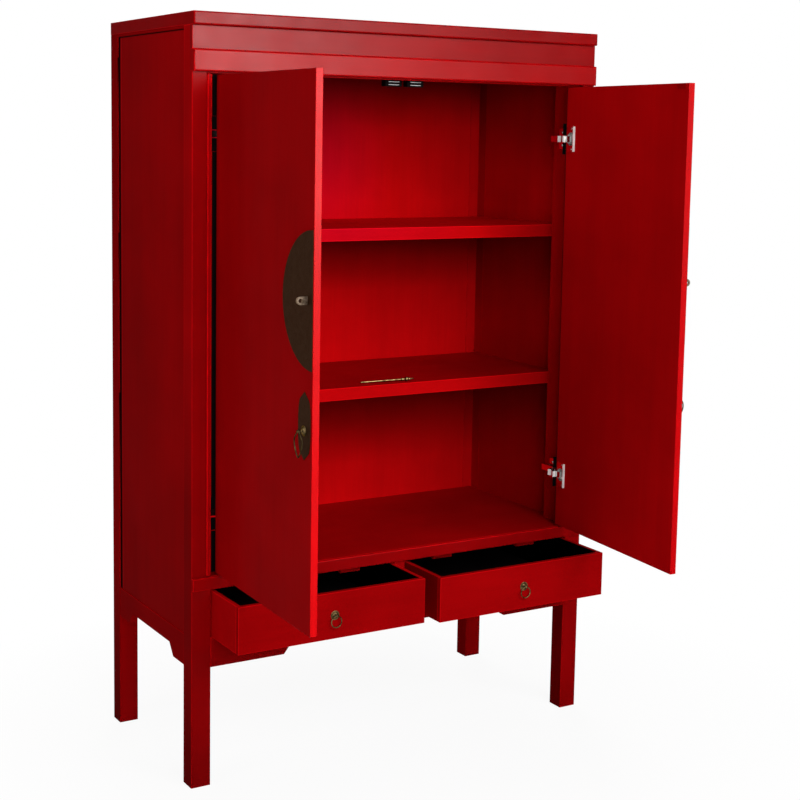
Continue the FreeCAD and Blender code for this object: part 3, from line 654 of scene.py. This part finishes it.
def metal(name, kind, side=None):
    """Metal of a kind from the table, dark where tarnished and bright where rubbed."""
    tarnished, rubbed, grazing, roughness, patch_scale, bump = metals[kind]
    material, tree, shader = new_material(name)
    place = place_at_rest(tree, side)
    patches = spread(tree, noise(tree, place, patch_scale, patch_detail), *patch_range, 0.0, 1.0)
    grain = noise(tree, place, *metal_grain)
    feed(tree, mix_colours(tree, patches, (*tarnished, 1), (*rubbed, 1)), shader.inputs["Base Color"])
    rough = varied(tree, grain, roughness - metal_roughness_reach, roughness + metal_roughness_reach)
    feed(tree, rough, shader.inputs["Roughness"])
    shader.inputs["Metallic"].default_value = 1.0
    shader.inputs["Specular Tint"].default_value = (*grazing, 1)
    set_bump(tree, shader, grain, bump, metal_bump_depth)
    return material


def nickel(name, painted_fronts=None):
    """Bright nickel plate. What looks to the front of the open doors is satin, as the cups' rims are.

    With a pair of front colours, the front shows these instead, on the left and on the right of the case: a
    painted shade on the left, and a painted reflection on the right."""
    made = metal(name, "nickel")
    tree = made.node_tree
    satin = spread(tree, face_share(tree, "-y"), 0.0, 1.0, 1.0, satin_metallic)
    feed(tree, satin, tree.nodes["Principled BSDF"].inputs["Metallic"])
    if painted_fronts is not None:
        across = axes_of(tree, place_at_rest(tree))[0]
        front = mix_colours(tree, spread(tree, across, -mm, mm, 0.0, 1.0), *painted_fronts)
        socket = tree.nodes["Principled BSDF"].inputs["Base Color"]
        plate = socket.links[0].from_socket
        feed(tree, mix_colours(tree, face_share(tree, "-y"), plate, front), socket)
    return made


def dark_coat(name, kind, red_from=None):
    """Near-black paint or plastic. From red_from outwards across the case it carries the lacquer's red."""
    dark, pale, clouds, roughness, specular, bump_noise, bump = dark_coats[kind]
    material, tree, shader = new_material(name)
    place = place_at_rest(tree)
    pattern = noise(tree, place, *clouds)
    tone = mix_colours(tree, pattern, dark, pale)
    if red_from is not None:
        across = maths(tree, "ABSOLUTE", axes_of(tree, place)[0])
        outer = spread(tree, across, red_from - mm, red_from + mm, 0.0, 1.0)
        tone = mix_colours(tree, outer, tone, strip_red)
    feed(tree, tone, shader.inputs["Base Color"])
    feed(tree, varied(tree, pattern, *roughness), shader.inputs["Roughness"])
    shader.inputs["Specular IOR Level"].default_value = specular
    set_bump(tree, shader, noise(tree, place, *bump_noise), *bump)
    return material


# CAD nodes and their finish

def soften(piece, width):
    """Rounds a CAD node's sharp edges by modifiers, which leave its mesh as it is."""
    weld = piece.modifiers.new("weld", "WELD")
    weld.merge_threshold = weld_reach
    flat = piece.modifiers.new("flat", "DECIMATE")
    flat.decimate_type = "DISSOLVE"
    flat.angle_limit = flat_angle
    bevel = piece.modifiers.new("bevel", "BEVEL")
    bevel.width = width
    bevel.segments = edge_segments
    bevel.limit_method = "ANGLE"
    bevel.angle_limit = edge_angle
    bevel.harden_normals = False
    normals = piece.modifiers.new("normals", "WEIGHTED_NORMAL")
    normals.keep_sharp = False


def dress(node, material):
    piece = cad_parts[node]
    piece.data.materials.clear()
    piece.data.materials.append(material)


wood = {
    "front_left_leg": "up", "front_right_leg": "up", "back_left_leg": "up", "back_right_leg": "up",
    "top_board": "across", "cornice_fascia": "across", "cornice_moulding": "across",
    "front_top_rail": "across", "side_cap_strips": "deep", "left_side_panel": "up",
    "right_side_panel": "up", "back_panel": "up", "left_side_rail": "deep", "right_side_rail": "deep",
    "back_bottom_rail": "across", "floor_board": "across", "waist_moulding": "across",
    "lower_shelf": "across", "upper_shelf": "across", "left_hinge_batten": "up",
    "right_hinge_batten": "up", "door_beads": "up", "front_apron": "across", "drawer_divider": "up",
    "drawer_runners": "deep", "drawer_stop_blocks": "across",
}
lacquered = bpy.data.collections.new("lacquered")
out_of_sheen = ("upper_shelf", "lower_shelf", "back_panel", "floor_board", "right_side_panel")
without_rims = (
    "side_cap_strips", "door_beads", "drawer_runners", "drawer_stop_blocks", "back_panel", "back_right_leg",
    "back_left_leg",
)

for node, grain in wood.items():
    edges = None if node in without_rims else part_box(node)
    # The beads take a painted highlight on their crowns, and the other boards painted light and shade.
    shade = painted_bead_highlight if node == "door_beads" else wood_painted_shade(node)
    dress(node, lacquer(node, grain, edges=edges, shade=shade))
    soften(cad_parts[node], bead_edge if node == "door_beads" else wood_edge)
    if node not in out_of_sheen:
        lacquered.objects.link(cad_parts[node])

for side in sides:
    door = side + "_door_panel"
    dress(door, lacquer(door, "up", side, shade=wood_painted_shade(door)))
    soften(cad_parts[door], door_edge)
    lacquered.objects.link(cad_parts[door])
    for node in (side + "_drawer_front", side + "_drawer_box"):
        dress(node, lacquer(node, "across", edges=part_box(node), inside=drawer_inside(side)))
        soften(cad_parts[node], drawer_edge)
    dress(side + "_drawer_bottom", dark_coat(side + "_drawer_bottom_lacquer", "drawer_paint"))
    dress(side + "_strike_plate", lacquer(side + "_strike_plate", "up", side))
    dress(side + "_half_moon_plate", metal(side + "_half_moon_bronze", "dark_bronze", side))
    dress(side + "_hasp_eye", metal(side + "_hasp_eye_bronze", "rubbed_bronze"))
    dress(side + "_ring_pull", metal(side + "_ring_pull_brass", "aged_brass"))
    for part in ("_hinge_cups", "_hinge_links"):
        dress(side + part, nickel(side + part + "_nickel"))

for node in ("hinge_mounting_plates", "hinge_screws"):
    dress(node, nickel(node + "_nickel"))
# The arms' fronts take a painted shade on the left and a painted reflection on the right.
dress("hinge_arms", nickel("hinge_arms_nickel", arm_painted_reflections))
dress("magnetic_catches", dark_coat("magnetic_catches_plastic", "plastic"))
dress("catch_poles", metal("catch_poles_steel", "pole_steel"))
dress("lock_pin", metal("lock_pin_brass", "bright_brass"))


# Fine pieces

def door_place(side, across, out, up):
    """A point of a door at rest: across from its free edge, out from its outer face, and up."""
    shut = Vector((sides[side] * (door_free_x + across), -out, up))
    pivot = Vector((sides[side] * swing_x, swing_y, 0))
    return pivot + Matrix.Rotation(door_turn[side], 3, "Z") @ (shut - pivot)


def drawer_place(side, across, out, up):
    """A point of a drawer at rest: across from the case's middle, out from the drawer's face, and up."""
    return Vector((sides[side] * across, drawer_face[side] - out, up))


def smooth_line(points, steps=curve_steps):
    """Points on a smooth curve through the given ones."""
    ends = [2 * points[0] - points[1]] + list(points) + [2 * points[-1] - points[-2]]
    line = []
    for before, start, end, after in zip(ends, ends[1:], ends[2:], ends[3:]):
        for step in range(steps):
            share = step / steps
            bend = (2 * before - 5 * start + 4 * end - after) * share ** 2
            twist = (3 * start - before - 3 * end + after) * share ** 3
            line.append((2 * start + (end - before) * share + bend + twist) / 2)
    return line + [points[-1]]


def add_loops(shape, loops):
    """Skins a row of point loops, with a cap at each end."""
    rings = [[shape.verts.new(point) for point in loop] for loop in loops]
    for ring, after in zip(rings, rings[1:]):
        for index in range(len(ring)):
            nearby = index - 1
            shape.faces.new((ring[nearby], ring[index], after[index], after[nearby]))
    shape.faces.new(rings[0])
    shape.faces.new(list(reversed(rings[-1])))


def add_turned(shape, place, profile, segments):
    """A solid turned about the outward axis, from rows of radius and height. The last row may be a point."""
    loops = []
    for radius, out in profile:
        circle = []
        for step in range(segments):
            angle = 2 * math.pi * step / segments
            circle.append(place(radius * math.cos(angle), out, radius * math.sin(angle)))
        loops.append(circle)
    add_loops(shape, loops)


def new_piece(name, shape, finish, body, bevel=None):
    """An object made from a mesh under way, riding on a body and taking a slot's finish."""
    bmesh.ops.remove_doubles(shape, verts=shape.verts, dist=join_reach)
    bmesh.ops.recalc_face_normals(shape, faces=shape.faces)
    for face in shape.faces:
        face.smooth = True
    mesh = bpy.data.meshes.new(name)
    shape.to_mesh(mesh)
    shape.free()
    mesh.materials.append(finish)
    piece = bpy.data.objects.new(name, mesh)
    bpy.context.scene.collection.objects.link(piece)
    if bevel is not None:
        soft = piece.modifiers.new("bevel", "BEVEL")
        soft.width = bevel
        soft.segments = edge_segments
        soft.limit_method = "ANGLE"
        soft.angle_limit = plate_angle
    piece.modifiers.new("normals", "WEIGHTED_NORMAL").keep_sharp = True
    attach(piece, body)
    return piece


def add_nail(shape, side, across, face, up):
    def place(sideways, out, rise):
        return door_place(side, across + sideways, face + out, up + rise)

    add_turned(shape, place, [(radius * mm, out * mm) for radius, out in nail_profile], nail_segments)


def make_escutcheon(side):
    """The pointed plate under the half moon: curved shoulders, drawn-in tips, and two nails."""
    rows = [Vector((half * mm, share * escutcheon_half_height)) for half, share in escutcheon_half_widths]
    upper = smooth_line(rows[:escutcheon_shoulder + 1]) + smooth_line(rows[escutcheon_shoulder:])[1:]
    right = [Vector((row.x, -row.y)) for row in reversed(upper[1:])] + upper
    left = [Vector((-row.x, row.y)) for row in reversed(right[1:-1])]
    loops = []
    for out in (-escutcheon_sink, escutcheon_thickness):
        loops.append([door_place(side, escutcheon_across + row.x, out, escutcheon_level + row.y)
                      for row in right + left])
    shape = bmesh.new()
    add_loops(shape, loops)
    nail_face = escutcheon_thickness - escutcheon_sink
    for rise in (-escutcheon_nail_rise, escutcheon_nail_rise):
        add_nail(shape, side, escutcheon_across, nail_face, escutcheon_level + rise)
    name = side + "_pointed_plate"
    finish = metal(name + "_bronze", "dark_bronze", side)
    piece = new_piece(name, shape, finish, side + "_door", plate_edge)
    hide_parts(side + "_escutcheon")


def make_moon_nails(side):
    shape = bmesh.new()
    for rise in (-moon_nail_rise, moon_nail_rise):
        add_nail(shape, side, moon_nail_across, escutcheon_thickness - escutcheon_sink, moon_level + rise)
    name = side + "_half_moon_nails"
    new_piece(name, shape, metal(name + "_bronze", "dark_bronze", side), side + "_door")


def add_rosette(shape, place, bulb, reach):
    """A rimmed rosette with a round bulb, and a post that ends in a ball."""
    profile = [(radius * mm, share * bulb) for radius, share in rosette_profile]
    neck = math.sqrt(ball_radius ** 2 - post_radius ** 2)
    if reach - neck > profile[-1][1]:
        profile.append((post_radius, reach - neck))
    start = -math.asin(neck / ball_radius)
    for step in range(ball_steps + 1):
        angle = start + (math.pi / 2 - start) * step / ball_steps
        height = reach + ball_radius * math.sin(angle)
        if height > profile[-1][1]:
            profile.append((ball_radius * math.cos(angle), height))
    add_turned(shape, place, profile, rosette_segments)


def make_pull_rosette(side):
    def place(sideways, out, rise):
        return door_place(side, escutcheon_across + sideways, escutcheon_thickness + out, pull_level + rise)

    shape = bmesh.new()
    add_rosette(shape, place, pull_bulb, pull_reach)
    name = side + "_turned_pull_rosette"
    piece = new_piece(name, shape, metal(name + "_brass", "aged_brass"), side + "_door")
    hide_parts(side + "_pull_rosette")


def make_ring_rosette(side):
    def place(sideways, out, rise):
        return drawer_place(side, ring_across + sideways, out, ring_level + rise)

    shape = bmesh.new()
    add_rosette(shape, place, ring_bulb, ring_reach)
    name = side + "_turned_ring_rosette"
    piece = new_piece(name, shape, metal(name + "_brass", "aged_brass"), side + "_drawer")
    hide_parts(side + "_ring_rosette")


def leaf_loops(side, middle):
    """The leaf's band as a row of sections along its open line, middle out from the door's face."""
    right = smooth_line([Vector(point) * mm for point in leaf_line], leaf_steps)
    left = [Vector((-point.x, point.y)) for point in reversed(right[:-1])]
    line = right + left
    loops = []
    for index, point in enumerate(line):
        before = line[max(index - 1, 0)]
        after = line[min(index + 1, len(line) - 1)]
        along = (after - before).normalized()
        sideways = Vector((-along.y, along.x))
        loop = []
        for wide, deep in leaf_section:
            place = point + sideways * wide * leaf_band / 2
            out = middle + deep * leaf_depth / 2
            loop.append(door_place(side, escutcheon_across + place.x, out, pull_level + place.y))
        loops.append(loop)
    return loops


def make_leaf(side):
    """The open leaf that hangs from a pin through the rosette's ball."""
    middle = escutcheon_thickness + pull_reach

    def pin_place(outward, along, rise):
        return door_place(side, escutcheon_across + along, middle + outward, pull_level + rise)

    shape = bmesh.new()
    add_loops(shape, leaf_loops(side, middle))
    pin_profile = [(radius * mm, along * mm) for radius, along in leaf_pin_profile]
    add_turned(shape, pin_place, pin_profile, leaf_pin_segments)
    name = side + "_leaf_pull"
    piece = new_piece(name, shape, metal(name + "_brass", "dark_brass"), side + "_drop_pull")
    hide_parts(side + "_drop_pull")


def strip_lengths(side):
    """The lengths of a dust strip, as rows of section, lower end and upper end."""
    cups_low, cups_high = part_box(side + "_hinge_cups")
    reach = cup_plate_half + cup_room
    lengths = []
    start = strip_low
    for hinge_level in (cups_low[2] + cup_plate_half, cups_high[2] - cup_plate_half):
        lengths.append((front_fin, start, hinge_level - reach))
        lengths.append((back_fin, hinge_level - reach + strip_break, hinge_level - arm_room))
        lengths.append((back_fin, hinge_level + arm_room, hinge_level + reach - strip_break))
        start = hinge_level + reach
    lengths.append((front_fin, start, strip_high))
    return lengths


def make_gap_shade_strip(side):
    """The black strip on a post's inner side that closes the gap behind the door's hinge edge: a dark piece
    put where there is only shade.
    """
    shape = bmesh.new()
    for section, low, high in strip_lengths(side):
        loops = []
        for level in (low, high):
            loops.append([Vector((sides[side] * (post_inner_x - inward * mm), deep * mm, level))
                          for inward, deep in section])
        add_loops(shape, loops)
    name = side + "_gap_shade_strip"
    finish = dark_coat(name + "_rubber", "plastic", strip_red_from)
    new_piece(name, shape, finish, "case", strip_edge)


for side in sides:
    make_escutcheon(side)
    make_moon_nails(side)
    make_pull_rosette(side)
    make_ring_rosette(side)
    make_leaf(side)
    make_gap_shade_strip(side)


# Floor, background and lights

def camera_share(tree):
    """1 for rays from the camera, and for those that metal and glass send to the background."""
    path = add_node(tree, "ShaderNodeLightPath").outputs
    seen = maths(tree, "MAXIMUM", path["Is Camera Ray"], path["Is Glossy Ray"])
    return maths(tree, "MAXIMUM", seen, path["Is Transmission Ray"])


def make_world():
    world = bpy.data.worlds.new("studio")
    world.use_nodes = True
    tree = world.node_tree
    background = tree.nodes["Background"]
    level = spread(tree, camera_share(tree), 0.0, 1.0, world_level, 1.0)
    background.inputs["Color"].default_value = (1, 1, 1, 1)
    feed(tree, level, background.inputs["Strength"])
    bpy.context.scene.world = world


def floor_finish():
    """A pale floor that keeps the cabinet's shadow near it and is white to the camera farther off."""
    material, tree, shader = new_material("pale_floor")
    place = place_at_rest(tree)
    grain = noise(tree, place, *floor_noise)
    feed(tree, varied(tree, grain, *floor_shades), shader.inputs["Base Color"])
    shader.inputs["Roughness"].default_value = floor_roughness
    shader.inputs["Specular IOR Level"].default_value = 0.0
    glow = add_node(tree, "ShaderNodeEmission")
    glow.inputs["Strength"].default_value = 1.0
    reach = add_node(tree, "ShaderNodeVectorMath", operation="LENGTH")
    feed(tree, place, reach.inputs[0])
    share = spread(tree, reach.outputs["Value"], *floor_glow_range, floor_glow, 1.0)
    share = maths(tree, "MULTIPLY", share, camera_share(tree))
    mixed = add_node(tree, "ShaderNodeMixShader")
    feed(tree, share, mixed.inputs[0])
    feed(tree, shader.outputs[0], mixed.inputs[1])
    feed(tree, glow.outputs[0], mixed.inputs[2])
    feed(tree, mixed.outputs[0], tree.nodes["Material Output"].inputs["Surface"])
    return material


def make_floor():
    mesh = bpy.data.meshes.new("floor")
    shape = bmesh.new()
    bmesh.ops.create_grid(shape, x_segments=2, y_segments=2, size=floor_reach)
    shape.to_mesh(mesh)
    shape.free()
    floor = bpy.data.objects.new("floor", mesh)
    bpy.context.scene.collection.objects.link(floor)
    mesh.materials.append(floor_finish())


def softbox(name, place, target, width, height, radiance):
    """A rectangular light of an even radiance that the camera doesn't see."""
    data = bpy.data.lights.new(name, "AREA")
    data.shape = "RECTANGLE"
    data.size = width
    data.size_y = height
    data.energy = radiance * math.pi * width * height
    lamp = bpy.data.objects.new(name, data)
    lamp.location = place
    lamp.rotation_mode = "QUATERNION"
    lamp.rotation_quaternion = (Vector(target) - Vector(place)).to_track_quat("-Z", "Y")
    lamp.visible_camera = False
    bpy.context.scene.collection.objects.link(lamp)
    return lamp


def make_lights():
    for name, (azimuth, elevation, share, width, height) in lights.items():
        turn = math.radians(azimuth)
        rise = math.radians(elevation)
        way = Vector((math.sin(turn) * math.cos(rise), -math.cos(turn) * math.cos(rise), math.sin(rise)))
        radiance = share * math.pi * light_distance ** 2 / (width * height)
        softbox(name, lit_point + light_distance * way, lit_point, width, height, radiance)


def make_sheen():
    """The lamp that the lacquered pieces mirror. It lights nothing else, and gives them no plain light."""
    lamp = softbox("sheen", sheen_place, sheen_target, sheen_width, sheen_height, sheen_radiance)
    lamp.visible_diffuse = False
    lamp.light_linking.receiver_collection = lacquered


make_world()
make_floor()
make_lights()
make_sheen()


# Camera

def make_camera():
    data = bpy.data.cameras.new("camera")
    data.lens = camera_lens
    data.sensor_width = camera_sensor
    data.shift_x, data.shift_y = camera_shift
    data.clip_start, data.clip_end = camera_clip
    camera = bpy.data.objects.new("camera", data)
    ahead_x = math.sin(camera_yaw) * math.cos(camera_pitch)
    ahead_y = math.cos(camera_yaw) * math.cos(camera_pitch)
    ahead = Vector((ahead_x, ahead_y, math.sin(camera_pitch)))
    level = Vector((math.cos(camera_yaw), -math.sin(camera_yaw), 0))
    upright = level.cross(ahead)
    right = math.cos(camera_roll) * level + math.sin(camera_roll) * upright
    up = -math.sin(camera_roll) * level + math.cos(camera_roll) * upright
    turn = Matrix((right, up, -ahead)).transposed()
    camera.matrix_world = Matrix.Translation(camera_place) @ turn.to_4x4()
    bpy.context.scene.collection.objects.link(camera)
    bpy.context.scene.camera = camera


make_camera()
bpy.context.scene.view_settings.view_transform = "Standard"

bpy.context.view_layer.update()
